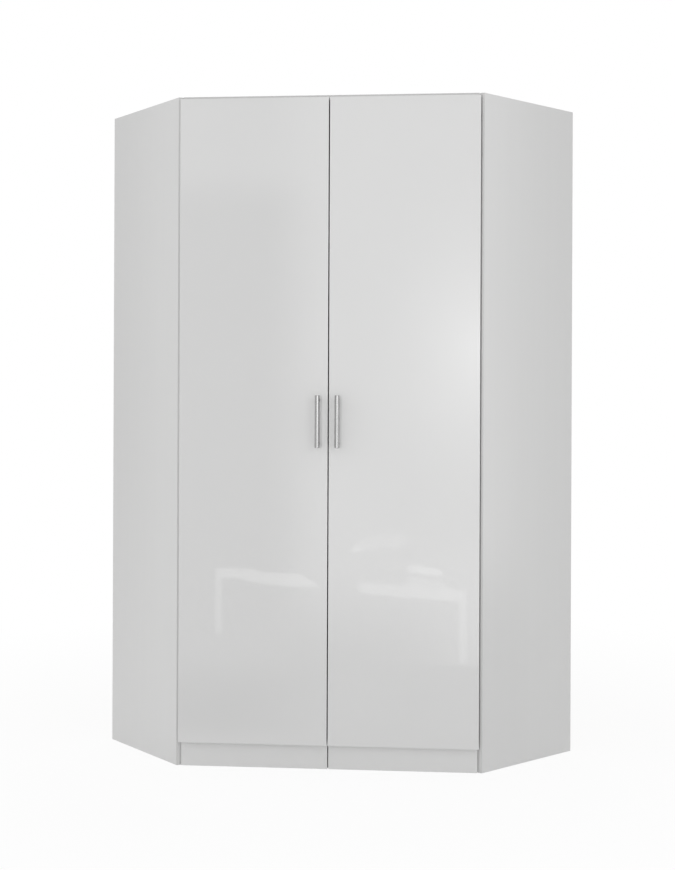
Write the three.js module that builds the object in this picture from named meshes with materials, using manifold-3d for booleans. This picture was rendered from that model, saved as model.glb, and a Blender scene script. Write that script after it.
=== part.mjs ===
// Corner wardrobe: a five-sided carcass for the corner of a room, with two hinged doors on its front.
// Millimetres, +Z up. The front faces -Y and the object is symmetric about X = 0.
import * as THREE from 'three';
import { mergeVertices } from 'three/addons/utils/BufferGeometryUtils.js';
import Module from 'manifold-3d';

const wasm = await Module();
wasm.setup();

// Carcass
const height = 1970;
const wallLength = 1020;
const sideDepth = 384;
const board = 16;
const panelBevel = 4;
const fitGap = 0.3;
const cutOverrun = 2;

// Plinth, and the foot block behind the joint between its halves
const plinthHeight = 70;
const plinthJoint = 3.6;
const footWidth = 60;
const footDepth = 24;

// Back sheets, the strips that join them, and the post in the rear corner
const sheetThickness = 3;
const sheetInset = 1;
const sheetReveal = 4;
const rebateWidth = 8;
const stripWidth = 16;
const stripFlange = 1;
const stripWeb = 1.6;
const postSize = 32;
const postCorner = 12;

// Hat shelf, its pegs and its rear cleat
const hatSpace = 304;
const shelfSetback = 20;
const pegDiameter = 5;
const pegReach = 10;
const pegBore = 9;
const pegSetbacks = [70, 290];
const cleatWidth = 20;
const cleatHeight = 20;

// Clothes rail under the hat shelf
const railLength = 860;
const railSetback = 400;
const railDrop = 60;
const railHigh = 30;
const railDeep = 15;
const railWall = 1.2;
const ringWall = 3;
const ringWidth = 12;
const bracketNeck = 10;
const bracketFoot = 46;
const bracketPlate = 3;

// Doors
const doorThickness = 16;
const doorGap = 3;
const doorInset = 9.9;
const centreGap = 3.6;
const doorTopReveal = 9.5;
const doorBottomReveal = 3;
const doorEdgeRadius = 1.2;

// Handles
const handleLength = 152;
const handleDiameter = 14;
const handleProjection = 35;
const handleSpacing = 128;
const handleHeight = 1016;
const handleFromEdge = 27;
const handleChamfer = 0.8;
const postDiameter = 10;
const screwDiameter = 4;
const screwGrip = 10;
const screwHeadDiameter = 9;
const screwHeadHeight = 2.4;

// Concealed hinges: a cup with a pin in the door, and an arm on a plate on the side panel
const hingesPerDoor = 4;
const hingeFromDoorEnd = 100;
const snugGap = 0.2;
const swingClearance = 0.3;
const pivotDepth = 7;
const pinRadius = 1.25;
const pinHalfLength = 9;
const cupBoreRadius = 17.5;
const cupBoreDepth = 13;
const cupFromPivot = 13;
const cupWall = 0.9;
const cupLip = 1;
const cupFlange = 1.2;
const flangeWidth = 18;
const flangeHeight = 54;
const armThickness = 3.4;
const eyeRadius = 2.4;
const hookReach = 14;
const hookWidth = 7;
const hookTail = 12;
const armWidth = 14;
const armStart = 5;
const armLength = 72;
const armStandoff = 9;
const plateSetback = 37;
const plateBefore = 26;
const plateBehind = 16;
const plateWidth = 12;
const wingDepth = 14;
const wingHeight = 46;
const wingThickness = 2.5;

// Facets on round pieces
const fineSteps = 36;
const smallSteps = 20;
const cornerSteps = 4;

// Sizes that follow from the ones above
const root2 = Math.SQRT2;
const halfFront = (wallLength - sideDepth) / root2;
const depthToCorner = (wallLength + sideDepth) / root2;
const doorFront = doorGap + doorThickness;
const frontReach = doorFront + handleProjection;
const frontY = (frontReach - depthToCorner) / 2;
const sheetBack = sheetInset + fitGap;
const sheetDepth = sheetBack + sheetThickness + fitGap;
const edgeOffWall = sheetDepth + stripFlange + fitGap;
const frontCornerInset = (board + panelBevel) / root2 + fitGap;
const shelfBottom = height - board - hatSpace - board;
const doorBottom = plinthHeight + doorBottomReveal;
const doorHeight = height - doorTopReveal - doorBottom;
const doorWidth = halfFront - doorInset - centreGap / 2;
const pivotBehindFront = doorFront - pivotDepth;
const doorBackFromPivot = doorThickness - pivotDepth;
const pivotInset = Math.sqrt((pivotBehindFront - swingClearance) ** 2 - doorBackFromPivot ** 2);
const cupRadius = cupBoreRadius - snugGap;
const hingeSpacing = (doorHeight - 2 * hingeFromDoorEnd) / (hingesPerDoor - 1);
const barAxis = handleProjection - handleDiameter / 2;

// Materials
const paint = (color, roughness, metalness) =>
  new THREE.MeshStandardMaterial({ color, roughness, metalness });
const whiteBoard = paint(0xe9e9e7, 0.55, 0);
const whiteGloss = paint(0xf2f2f1, 0.12, 0);
const whiteSheet = paint(0xdededb, 0.7, 0);
const whitePlastic = paint(0xe4e4e1, 0.45, 0);
const paleWood = paint(0xcdb48c, 0.75, 0);
const brushedMetal = paint(0xb9bbbd, 0.35, 1);
const plated = paint(0xc4c6c8, 0.25, 1);

// Two frames: the walls meet at the origin of the first, and the second has the carcass front at y = 0
const wardrobe = new THREE.Group();
const walls = new THREE.Group();
walls.position.y = frontY + depthToCorner;
walls.rotation.z = -0.75 * Math.PI;
const front = new THREE.Group();
front.position.y = frontY;
wardrobe.add(walls, front);

function add(group, name, geometry, material, place = [0, 0, 0]) {
  const mesh = new THREE.Mesh(geometry, material);
  mesh.name = name;
  mesh.position.set(...place);
  group.add(mesh);
  return mesh;
}

// Solids for cuts and joins
function solidOf(geometry) {
  const bare = geometry.index ? geometry.toNonIndexed() : geometry.clone();
  bare.deleteAttribute('normal');
  bare.deleteAttribute('uv');
  const merged = mergeVertices(bare);
  return new wasm.Manifold(new wasm.Mesh({
    numProp: 3,
    vertProperties: Float32Array.from(merged.attributes.position.array),
    triVerts: Uint32Array.from(merged.index.array),
  }));
}

function geometryOf(solid) {
  const data = solid.getMesh();
  const geometry = new THREE.BufferGeometry();
  geometry.setAttribute('position', new THREE.BufferAttribute(data.vertProperties, 3));
  geometry.setIndex(new THREE.BufferAttribute(data.triVerts, 1));
  const flat = geometry.toNonIndexed();
  flat.computeVertexNormals();
  return flat;
}

const joined = (...solids) => solids.reduce((whole, next) => whole.add(next));

function prism(points, depth) {
  return new THREE.ExtrudeGeometry(new THREE.Shape(points), { depth, bevelEnabled: false });
}

function rod(radius, length, steps = smallSteps) {
  return new THREE.CylinderGeometry(radius, radius, length, steps);
}

// A point u along a side's wall from the rear corner and v off that wall, in the frame of the walls
function plan(side, u, v) {
  return side === 'left' ? new THREE.Vector2(u, v) : new THREE.Vector2(v, u);
}

const sides = ['left', 'right'];
const inwards = { left: 1, right: -1 };

// Side panel, with a bevel on its front end that lies in the carcass front
function sidePanel(side) {
  const inner = wallLength - board;
  const tip = sideDepth + panelBevel;
  const outline = [
    plan(side, wallLength, 0),
    plan(side, wallLength, sideDepth),
    plan(side, wallLength - panelBevel, tip),
    plan(side, inner, tip),
    plan(side, inner, sheetDepth),
    plan(side, inner + rebateWidth, sheetDepth),
    plan(side, inner + rebateWidth, 0),
  ];
  let panel = solidOf(prism(outline, height));
  for (const setback of pegSetbacks) {
    const bore = rod(pegDiameter / 2 + snugGap, pegBore + cutOverrun);
    panel = panel.subtract(solidOf(pegPlaced(side, bore, (pegBore - cutOverrun) / 2, setback)));
  }
  add(walls, `side_panel_${side}`, geometryOf(panel), whiteBoard);
}

// Turns a rod's length across the side panel and puts its middle at a depth inside the panel's face
function pegPlaced(side, geometry, depthInPanel, setback) {
  const middle = plan(side, wallLength - board + depthInPanel, sideDepth - setback);
  if (side === 'left') geometry.rotateZ(Math.PI / 2);
  return geometry.translate(middle.x, middle.y, shelfBottom - pegDiameter / 2 - snugGap);
}

function shelfPegs(side) {
  const length = pegReach + pegBore - fitGap;
  pegSetbacks.forEach((setback, i) => {
    const peg = pegPlaced(side, rod(pegDiameter / 2, length), length / 2 - pegReach, setback);
    add(walls, `shelf_peg_${side}_${i + 1}`, peg, plated);
  });
}

// Five-sided outline between the side panels, with its front edge set back from the carcass front
function fiveSided(setback, rearCut) {
  const sideLine = wallLength - board - fitGap;
  const frontSum = wallLength + sideDepth - setback * root2;
  const half = [];
  if (rearCut > 0) half.push([rearCut, rearCut], [rearCut, edgeOffWall]);
  else half.push([edgeOffWall, edgeOffWall]);
  half.push([sideLine, edgeOffWall]);
  const cornerLine = (halfFront - frontCornerInset) * root2;
  if (frontSum - sideLine > sideLine - cornerLine) {
    half.push([sideLine, sideLine - cornerLine]);
    half.push([(frontSum + cornerLine) / 2, (frontSum - cornerLine) / 2]);
  } else {
    half.push([sideLine, frontSum - sideLine]);
  }
  const leftHalf = half.map(([u, v]) => plan('left', u, v));
  const rightHalf = half.slice(1).reverse().map(([u, v]) => plan('right', u, v));
  return [...leftHalf, ...rightHalf];
}

function panels() {
  const postCut = postSize + fitGap;
  add(walls, 'top_panel', prism(fiveSided(0, 0), board), whiteBoard, [0, 0, height - board]);
  add(walls, 'bottom_panel', prism(fiveSided(0, postCut), board), whiteBoard, [0, 0, plinthHeight]);
  add(walls, 'hat_shelf', prism(fiveSided(shelfSetback, postCut), board), whiteBoard, [0, 0, shelfBottom]);
}

function rearPost() {
  const outline = [
    [0, 0], [postCorner, 0], [postCorner, sheetDepth], [postSize, sheetDepth],
    [postSize, postSize], [sheetDepth, postSize], [sheetDepth, postCorner], [0, postCorner],
  ];
  const points = outline.map(([x, y]) => new THREE.Vector2(x, y));
  add(walls, 'rear_corner_post', prism(points, height - board - fitGap), paleWood);
}

function shelfCleat() {
  const inner = postSize + fitGap;
  const outer = inner + cleatWidth;
  const outline = [
    [outer, edgeOffWall], [outer, outer], [edgeOffWall, outer],
    [edgeOffWall, inner], [inner, inner], [inner, edgeOffWall],
  ];
  const points = outline.map(([x, y]) => new THREE.Vector2(x, y));
  const bottom = shelfBottom - fitGap - cleatHeight;
  add(walls, 'shelf_rear_cleat', prism(points, cleatHeight), paleWood, [0, 0, bottom]);
}

// The middle of the visible back of one wall, where its two sheets meet
const sheetStart = postCorner + fitGap;
const sheetEnd = wallLength - board + rebateWidth - fitGap;
const sheetMiddle = (sheetStart + sheetEnd) / 2;
const sheetLow = plinthHeight + sheetReveal;
const sheetHigh = height - sheetReveal;

function backSheet(side, name, from, to) {
  const face = sheetBack + sheetThickness;
  const outline = [
    plan(side, from, sheetBack), plan(side, to, sheetBack),
    plan(side, to, face), plan(side, from, face),
  ];
  add(walls, name, prism(outline, sheetHigh - sheetLow), whiteSheet, [0, 0, sheetLow]);
}

function backSheets(side) {
  const halfWeb = stripWeb / 2 + fitGap;
  backSheet(side, `back_sheet_${side}_inner`, sheetStart, sheetMiddle - halfWeb);
  backSheet(side, `back_sheet_${side}_outer`, sheetMiddle + halfWeb, sheetEnd);
}

function jointStrip(side) {
  const flange = stripWidth / 2;
  const web = stripWeb / 2;
  const inner = sheetDepth + stripFlange;
  const crossSection = [
    [-flange, 0], [flange, 0], [flange, sheetInset], [web, sheetInset],
    [web, sheetDepth], [flange, sheetDepth], [flange, inner],
    [-flange, inner], [-flange, sheetDepth], [-web, sheetDepth],
    [-web, sheetInset], [-flange, sheetInset],
  ];
  const outline = crossSection.map(([along, off]) => plan(side, sheetMiddle + along, off));
  const length = sheetHigh - sheetLow;
  add(walls, `back_joint_strip_${side}`, prism(outline, length), whitePlastic, [0, 0, sheetLow]);
}

function plinth(side) {
  const outer = halfFront - frontCornerInset;
  const inner = plinthJoint / 2;
  const geometry = new THREE.BoxGeometry(outer - inner, board, plinthHeight - fitGap);
  const x = -inwards[side] * (outer + inner) / 2;
  add(front, `plinth_${side}`, geometry, whiteBoard, [x, board / 2, (plinthHeight - fitGap) / 2]);
}

function plinthFoot() {
  const tall = plinthHeight - fitGap;
  const geometry = new THREE.BoxGeometry(footWidth, footDepth, tall);
  add(front, 'plinth_foot', geometry, whitePlastic, [0, board + fitGap + footDepth / 2, tall / 2]);
}

// Oval of the rail's section, drawn with the rail's height along the shape's y
function oval(path, halfDeep, halfHigh) {
  const straight = halfHigh - halfDeep;
  path.moveTo(halfDeep, -straight);
  path.lineTo(halfDeep, straight);
  path.absarc(0, straight, halfDeep, 0, Math.PI);
  path.lineTo(-halfDeep, -straight);
  path.absarc(0, -straight, halfDeep, Math.PI, 2 * Math.PI);
  return path;
}

// Extrudes a shape drawn in Y and Z along X, with its middle at x = 0
function alongX(shape, length) {
  const options = { depth: length, bevelEnabled: false, curveSegments: smallSteps / 2 };
  const geometry = new THREE.ExtrudeGeometry(shape, options);
  geometry.translate(0, 0, -length / 2);
  geometry.rotateY(Math.PI / 2);
  return geometry.rotateX(Math.PI / 2);
}

const railZ = shelfBottom - railDrop;

function clothesRail() {
  const shape = oval(new THREE.Shape(), railDeep / 2, railHigh / 2);
  shape.holes.push(oval(new THREE.Path(), railDeep / 2 - railWall, railHigh / 2 - railWall));
  add(front, 'clothes_rail', alongX(shape, railLength), plated, [0, railSetback, railZ]);
}

// Bracket that hangs from the hat shelf: a ring round the rail, a neck and a foot plate
function railBracket(name, x, closedSide) {
  const ringDeep = railDeep / 2 + fitGap + ringWall;
  const ringHigh = railHigh / 2 + fitGap + ringWall;
  const footTop = railDrop - fitGap;
  const ring = solidOf(alongX(oval(new THREE.Shape(), ringDeep, ringHigh), ringWidth));
  const neckLength = footTop - railHigh / 2 - fitGap;
  const neck = new THREE.BoxGeometry(ringWidth, bracketNeck, neckLength);
  neck.translate(0, 0, footTop - neckLength / 2);
  const foot = new THREE.BoxGeometry(ringWidth, bracketFoot, bracketPlate);
  foot.translate(0, 0, footTop - bracketPlate / 2);
  const hole = oval(new THREE.Shape(), railDeep / 2 + fitGap, railHigh / 2 + fitGap);
  const through = alongX(hole, ringWidth + 2 * cutOverrun);
  through.translate(closedSide * (cutOverrun + ringWall), 0, 0);
  const solid = joined(ring, solidOf(neck), solidOf(foot)).subtract(solidOf(through));
  add(front, name, geometryOf(solid), whitePlastic, [x, railSetback, railZ]);
}

function railBrackets() {
  const end = railLength / 2 + fitGap + ringWall - ringWidth / 2;
  railBracket('rail_bracket_left', -end, 1);
  railBracket('rail_bracket_middle', 0, 0);
  railBracket('rail_bracket_right', end, -1);
}

// Door: a board with rounded upright front edges, bored for its hinge cups and handle screws
function doorBoard(side, hingeHeights) {
  const inward = inwards[side];
  const r = doorEdgeRadius;
  const shape = new THREE.Shape();
  shape.moveTo(0, doorThickness);
  shape.lineTo(0, r);
  shape.absarc(r, r, r, Math.PI, 1.5 * Math.PI);
  shape.lineTo(doorWidth - r, 0);
  shape.absarc(doorWidth - r, r, r, 1.5 * Math.PI, 2 * Math.PI);
  shape.lineTo(doorWidth, doorThickness);
  const options = { depth: doorHeight, bevelEnabled: false, curveSegments: cornerSteps };
  const blank = new THREE.ExtrudeGeometry(shape, options);
  const outerEdge = inward * (halfFront - doorInset);
  const hingedOnLeft = inward > 0;
  blank.translate(hingedOnLeft ? -outerEdge : -outerEdge - doorWidth, -doorFront, doorBottom);
  let solid = solidOf(blank);
  const cupX = -inward * (halfFront - doorInset - pivotInset - cupFromPivot);
  for (const z of hingeHeights) {
    const bore = rod(cupBoreRadius, cupBoreDepth + cutOverrun, fineSteps);
    bore.translate(cupX, -doorGap - (cupBoreDepth - cutOverrun) / 2, z);
    solid = solid.subtract(solidOf(bore));
  }
  for (const z of handlePostHeights) {
    const bore = rod(screwDiameter / 2 + snugGap, doorThickness + 2 * cutOverrun);
    bore.translate(-inward * handleX, -doorGap - doorThickness / 2, z);
    solid = solid.subtract(solidOf(bore));
  }
  add(front, `door_${side}`, geometryOf(solid), whiteGloss);
}

const handleX = centreGap / 2 + handleFromEdge;
const handlePostHeights = [handleHeight - handleSpacing / 2, handleHeight + handleSpacing / 2];

function handleBar(side) {
  const r = handleDiameter / 2;
  const half = handleLength / 2;
  const c = handleChamfer;
  const profile = [[0, -half], [r - c, -half], [r, c - half], [r, half - c], [r - c, half], [0, half]];
  const points = profile.map(([x, y]) => new THREE.Vector2(x, y));
  const bar = add(front, `handle_bar_${side}`, new THREE.LatheGeometry(points, fineSteps), brushedMetal);
  bar.position.set(-inwards[side] * handleX, -doorFront - barAxis, handleHeight);
  bar.rotation.x = Math.PI / 2;
}

// Post from the door face to the bar, saddled to the bar and bored for its screw
function handlePost(side, name, z) {
  const reach = barAxis - fitGap;
  const post = rod(postDiameter / 2, reach, fineSteps).translate(0, -reach / 2, 0);
  const bar = rod(handleDiameter / 2 + fitGap, handleSpacing, fineSteps);
  bar.rotateX(Math.PI / 2).translate(0, fitGap - barAxis, 0);
  const bore = rod(screwDiameter / 2 + snugGap, screwGrip + cutOverrun);
  bore.translate(0, (cutOverrun - screwGrip) / 2, 0);
  const solid = solidOf(post).subtract(solidOf(bar)).subtract(solidOf(bore));
  const place = [-inwards[side] * handleX, -doorFront - fitGap, z];
  add(front, `handle_post_${side}_${name}`, geometryOf(solid), brushedMetal, place);
}

// Screw from the back of the door into the post, its head against the door
function handleScrew(side, name, z) {
  const shank = screwDiameter / 2;
  const length = doorThickness + screwGrip - fitGap;
  const head = screwHeadDiameter / 2;
  const c = screwHeadHeight / 3;
  const profile = [
    [0, -length], [shank, -length], [shank, fitGap], [head, fitGap],
    [head, screwHeadHeight - c], [head - c, screwHeadHeight], [0, screwHeadHeight],
  ];
  const points = profile.map(([x, y]) => new THREE.Vector2(x, y));
  const place = [-inwards[side] * handleX, -doorGap, z];
  add(front, `handle_screw_${side}_${name}`, new THREE.LatheGeometry(points, smallSteps), plated, place);
}

function handle(side) {
  handleBar(side);
  ['lower', 'upper'].forEach((name, i) => {
    handlePost(side, name, handlePostHeights[i]);
    handleScrew(side, name, handlePostHeights[i]);
  });
}

// Hinge cup, with its pin on the pivot axis: x points along the door and y into the wardrobe
function cupSolid(inward) {
  const floor = doorBackFromPivot - cupBoreDepth + snugGap;
  const face = doorBackFromPivot + snugGap;
  const inner = cupRadius - cupWall;
  const profile = [
    [0, floor], [cupRadius, floor], [cupRadius, face], [cupBoreRadius + cupLip, face],
    [cupBoreRadius + cupLip, face + cupFlange], [inner, face + cupFlange],
    [inner, floor + cupWall], [0, floor + cupWall],
  ];
  const points = profile.map(([x, y]) => new THREE.Vector2(x, y));
  const centre = inward * cupFromPivot;
  const cup = new THREE.LatheGeometry(points, fineSteps).translate(centre, 0, 0);
  const flange = new THREE.BoxGeometry(flangeWidth, cupFlange, flangeHeight);
  flange.translate(centre, face + cupFlange / 2, 0);
  const well = rod(inner, cupFlange + 2 * cutOverrun, fineSteps);
  well.translate(centre, face + cupFlange / 2, 0);
  const pin = rod(pinRadius, 2 * pinHalfLength).rotateX(Math.PI / 2);
  return joined(solidOf(cup), solidOf(flange).subtract(solidOf(well)), solidOf(pin));
}

// Outline of a strip of even thickness along a path with sharp bends
function ribbon(path, thickness) {
  const edge = (offset) => path.map((point, i) => {
    const before = path[Math.max(i - 1, 0)];
    const after = path[Math.min(i + 1, path.length - 1)];
    const into = point.clone().sub(before);
    const out = after.clone().sub(point);
    if (into.length() === 0) into.copy(out);
    if (out.length() === 0) out.copy(into);
    into.normalize();
    out.normalize();
    const across = new THREE.Vector2(-into.y - out.y, into.x + out.x);
    const mitre = 2 * offset / across.lengthSq();
    return point.clone().addScaledVector(across, mitre);
  });
  return [...edge(thickness / 2), ...edge(-thickness / 2).reverse()];
}

// Sum of x and y, from the pivot, along the inner face of the side panel
const panelSum = pivotBehindFront - doorInset - pivotInset + board * root2;
const bendY = panelSum + armStandoff * root2 - hookReach;

// Hinge arm: an eye on the pin, a hook that clears the door's edge, and a tail along the side panel
function armSolid(inward) {
  const at = (x, y) => new THREE.Vector2(inward * x, y);
  const alongTail = (d) => at(hookReach - d / root2, bendY + d / root2);
  const hookPath = [at(0, 0), at(hookReach, 0), at(hookReach, bendY), alongTail(hookTail)];
  const tailPath = [alongTail(armStart), alongTail(armLength)];
  const centred = (path, width) => prism(ribbon(path, armThickness), width).translate(0, 0, -width / 2);
  const eye = rod(eyeRadius, hookWidth).rotateX(Math.PI / 2);
  const hole = rod(pinRadius + snugGap, hookWidth + 2 * cutOverrun).rotateX(Math.PI / 2);
  const hook = solidOf(centred(hookPath, hookWidth));
  const tail = solidOf(centred(tailPath, armWidth));
  return joined(hook, tail, solidOf(eye)).subtract(solidOf(hole));
}

// Mounting plate on the inner face of the side panel: a rib under the arm, and two wings
function hingePlate(side, name, z) {
  const face = wallLength - board - fitGap;
  const ribHeight = armStandoff - armThickness / 2 - 2 * fitGap;
  const block = (length, thickness, tall, middle) => {
    const box = new THREE.BoxGeometry(...(side === 'left' ? [thickness, length, tall] : [length, thickness, tall]));
    const centre = plan(side, face - thickness / 2, sideDepth - middle);
    return solidOf(box.translate(centre.x, centre.y, 0));
  };
  const ribMiddle = plateSetback + (plateBehind - plateBefore) / 2;
  const rib = block(plateBefore + plateBehind, ribHeight, plateWidth, ribMiddle);
  const wings = block(wingDepth, wingThickness, wingHeight, plateSetback);
  add(walls, name, geometryOf(joined(rib, wings)), plated, [0, 0, z]);
}

function hinges(side, hingeHeights) {
  const inward = inwards[side];
  const pivotX = -inward * (halfFront - doorInset - pivotInset);
  const cup = geometryOf(cupSolid(inward));
  const arm = geometryOf(armSolid(inward));
  hingeHeights.forEach((z, i) => {
    const place = [pivotX, -pivotBehindFront, z];
    add(front, `hinge_cup_${side}_${i + 1}`, cup, plated, place);
    add(front, `hinge_arm_${side}_${i + 1}`, arm, plated, place);
    hingePlate(side, `hinge_plate_${side}_${i + 1}`, z);
  });
}

const hingeHeights = Array.from(
  { length: hingesPerDoor },
  (_, i) => doorBottom + hingeFromDoorEnd + i * hingeSpacing,
);

panels();
rearPost();
shelfCleat();
plinthFoot();
clothesRail();
railBrackets();
for (const side of sides) {
  sidePanel(side);
  shelfPegs(side);
  backSheets(side);
  jointStrip(side);
  plinth(side);
  doorBoard(side, hingeHeights);
  handle(side);
  hinges(side, hingeHeights);
}

console.log(`pivot x ${(halfFront - doorInset - pivotInset).toFixed(3)}`,
  `y ${(frontY - pivotBehindFront).toFixed(3)}, front y ${frontY.toFixed(3)}`);

export default wardrobe;
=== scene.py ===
# Looks for the corner wardrobe: materials, small fittings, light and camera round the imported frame.
# Metres, +Z up, the doors face -Y.
import math

import bmesh
import bpy
from mathutils import Matrix, Vector


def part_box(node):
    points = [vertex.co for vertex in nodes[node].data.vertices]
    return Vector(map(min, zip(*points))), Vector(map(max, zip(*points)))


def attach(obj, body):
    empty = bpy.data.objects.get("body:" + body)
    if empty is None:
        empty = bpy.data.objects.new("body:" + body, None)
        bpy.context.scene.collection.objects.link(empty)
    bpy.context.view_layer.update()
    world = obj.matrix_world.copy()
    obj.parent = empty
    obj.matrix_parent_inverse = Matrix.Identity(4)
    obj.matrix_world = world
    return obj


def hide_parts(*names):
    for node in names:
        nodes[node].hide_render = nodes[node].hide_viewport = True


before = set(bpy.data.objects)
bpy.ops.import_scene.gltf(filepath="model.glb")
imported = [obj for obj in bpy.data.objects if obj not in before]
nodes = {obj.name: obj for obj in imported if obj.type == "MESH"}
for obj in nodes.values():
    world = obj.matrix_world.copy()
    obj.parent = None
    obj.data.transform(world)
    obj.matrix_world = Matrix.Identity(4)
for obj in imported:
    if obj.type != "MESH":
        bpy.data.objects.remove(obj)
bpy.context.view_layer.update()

# The photograph's frame and the camera solved from it
PHOTO_WIDTH = 675
PHOTO_HEIGHT = 870
SENSOR = 36.0
FOCAL_PIXELS = 1292.8
PRINCIPAL_PIXEL = (376.0, 403.9)
CAMERA_PLACE = Vector((0.446, -4.2235, 1.068))
CAMERA_YAW = math.radians(4.696)
CAMERA_ROLL = math.radians(0.225)

SIDES = ("left", "right")
OUTWARD = {"left": -1.0, "right": 1.0}
DIAGONAL = math.sqrt(0.5)
UP = Vector((0.0, 0.0, 1.0))

# The doors, as the frame has them
door_low, door_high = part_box("door_left")
DOOR_FRONT = door_low.y
DOOR_BACK = door_high.y
DOOR_LOW = door_low.z
DOOR_HIGH = door_high.z
DOOR_FACE = (Vector((0.0, DOOR_FRONT, 0.0)), Vector((0.0, -1.0, 0.0)))
HINGES = (1, 2, 3, 4)


# Helpers for objects and nodes

def linked(name, data):
    obj = bpy.data.objects.new(name, data)
    bpy.context.scene.collection.objects.link(obj)
    return obj


def add_node(owner, kind, inputs=None, **settings):
    made = owner.node_tree.nodes.new(kind)
    for key, value in settings.items():
        setattr(made, key, value)
    for key, value in (inputs or {}).items():
        made.inputs[key].default_value = value
    return made


def connect(owner, source, target):
    owner.node_tree.links.new(source, target)


def plain_material(name, color, roughness, metallic=0.0):
    material = bpy.data.materials.new(name)
    material.use_nodes = True
    shader = material.node_tree.nodes["Principled BSDF"]
    shader.inputs["Base Color"].default_value = (*color, 1.0)
    shader.inputs["Roughness"].default_value = roughness
    shader.inputs["Metallic"].default_value = metallic
    return material, shader


# A noise without a stretch of its own, and the range that most of a noise's values lie in
EVEN = (1.0, 1.0, 1.0)
NOISE_LOW = 0.3
NOISE_HIGH = 0.7


def noise(material, scale, detail, stretch=EVEN, roughness=0.55):
    place = add_node(material, "ShaderNodeTexCoord")
    mapping = add_node(material, "ShaderNodeMapping", {"Scale": stretch})
    texture = add_node(
        material, "ShaderNodeTexNoise",
        {"Scale": scale, "Detail": detail, "Roughness": roughness},
    )
    connect(material, place.outputs["Object"], mapping.inputs["Vector"])
    connect(material, mapping.outputs["Vector"], texture.inputs["Vector"])
    return texture.outputs["Fac"]


def ramp_between(material, factor, low, high, start, end):
    ramp = add_node(material, "ShaderNodeValToRGB")
    for stop, position, color in zip(ramp.color_ramp.elements, (start, end), (low, high)):
        stop.position = position
        stop.color = (*color, 1.0)
    connect(material, factor, ramp.inputs["Fac"])
    return ramp.outputs["Color"]


def colour_between(material, shader, factor, low, high, start=NOISE_LOW, end=NOISE_HIGH):
    color = ramp_between(material, factor, low, high, start, end)
    connect(material, color, shader.inputs["Base Color"])


def roughness_between(material, shader, factor, low, high):
    reach = add_node(
        material, "ShaderNodeMapRange",
        {"From Min": NOISE_LOW, "From Max": NOISE_HIGH, "To Min": low, "To Max": high},
    )
    connect(material, factor, reach.inputs["Value"])
    connect(material, reach.outputs["Result"], shader.inputs["Roughness"])


def bump(material, shader, factor, strength, depth):
    relief = add_node(material, "ShaderNodeBump", {"Strength": strength, "Distance": depth})
    connect(material, factor, relief.inputs["Height"])
    connect(material, relief.outputs["Normal"], shader.inputs["Normal"])


# Materials

def melamine(name, stretch):
    """Matt white foil with a faint pressed grain along the smallest stretch."""
    material, shader = plain_material(name, color=(0.70, 0.70, 0.697), roughness=0.46)
    grain = noise(material, scale=26.0, detail=5.0, stretch=stretch, roughness=0.62)
    cloud = noise(material, scale=2.2, detail=2.0)
    colour_between(material, shader, grain, low=(0.696, 0.696, 0.693), high=(0.704, 0.705, 0.702))
    roughness_between(material, shader, cloud, low=0.42, high=0.50)
    bump(material, shader, grain, strength=0.08, depth=0.0004)
    return material


def edge_band_painted_shade():
    """Smooth plastic banding on the boards' narrow faces, darker than their faces as painted reveal shade.
    """
    material, shader = plain_material("edge_band_painted_shade", color=(0.57, 0.57, 0.566), roughness=0.38)
    speckle = noise(material, scale=900.0, detail=2.0)
    colour_between(material, shader, speckle, low=(0.563, 0.563, 0.559), high=(0.577, 0.577, 0.573))
    bump(material, shader, speckle, strength=0.05, depth=0.0001)
    return material


def gloss_front():
    """High gloss white door front with a slight orange peel."""
    material, shader = plain_material("gloss_front", color=(0.70, 0.70, 0.698), roughness=0.035)
    peel = noise(material, scale=90.0, detail=2.0)
    cloud = noise(material, scale=3.0, detail=2.0, stretch=(1.0, 1.0, 0.6))
    colour_between(material, shader, cloud, low=(0.696, 0.696, 0.694), high=(0.704, 0.704, 0.702))
    roughness_between(material, shader, cloud, low=0.03, high=0.04)
    bump(material, shader, peel, strength=0.02, depth=0.0003)
    return material


def painted_highlight_edge():
    """Clear polished edging on the door fronts, paler than the gloss it frames: a painted highlight."""
    material, shader = plain_material("painted_highlight_edge", color=(0.90, 0.90, 0.897), roughness=0.08)
    ripple = noise(material, scale=220.0, detail=2.0, stretch=(1.0, 1.0, 0.1))
    colour_between(material, shader, ripple, low=(0.885, 0.885, 0.882), high=(0.915, 0.915, 0.912))
    return material


def hardboard_white():
    """White lacquered face of the back sheets."""
    material, shader = plain_material("hardboard_white", color=(0.76, 0.76, 0.75), roughness=0.55)
    fibre = noise(material, scale=420.0, detail=4.0)
    colour_between(material, shader, fibre, low=(0.745, 0.745, 0.735), high=(0.77, 0.77, 0.76))
    bump(material, shader, fibre, strength=0.15, depth=0.0003)
    return material


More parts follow.
